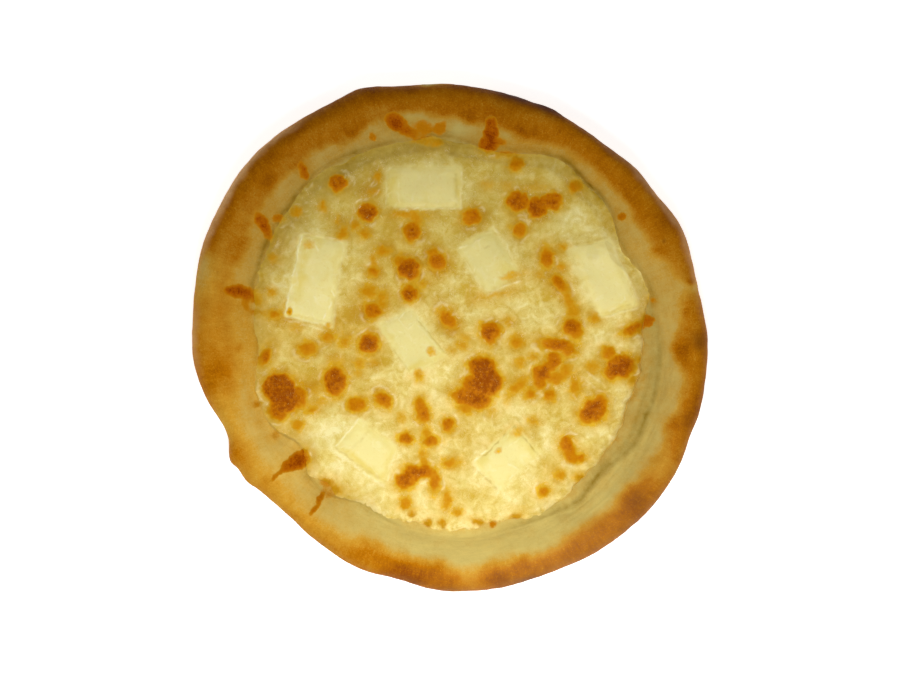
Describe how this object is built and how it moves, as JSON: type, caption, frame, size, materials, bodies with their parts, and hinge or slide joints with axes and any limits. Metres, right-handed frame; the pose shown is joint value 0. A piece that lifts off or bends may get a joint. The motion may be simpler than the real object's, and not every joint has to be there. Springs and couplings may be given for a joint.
{
  "type": "pizza",
  "caption": "Round white-cheese pizza, uncut: hand-pressed crust with a raised rim, a browned melted-cheese layer in its well and half-melted soft-cheese slices.",
  "frame": {"origin": "centre of the outline's box, on the flat underside", "axes": "+Z up out of the topping; +X to the right and +Y up as the picture shows the pizza from straight above"},
  "size_m": [0.2507, 0.2469, 0.022],
  "materials": {
    "crust": "baked dough, matt, golden with browner rim",
    "cheese_layer": "melted cheese, oily and lumpy, with browned blisters",
    "cheese_slice": "soft cheese, smooth and waxy"
  },
  "bodies": {
    "root": {"crust": "crust", "cheese_layer": "cheese_layer", "cheese_slice_1": "cheese_slice", "cheese_slice_2": "cheese_slice", "cheese_slice_3": "cheese_slice", "cheese_slice_4": "cheese_slice", "cheese_slice_5": "cheese_slice", "cheese_slice_6": "cheese_slice", "cheese_slice_7": "cheese_slice"}
  },
  "joints": []
}
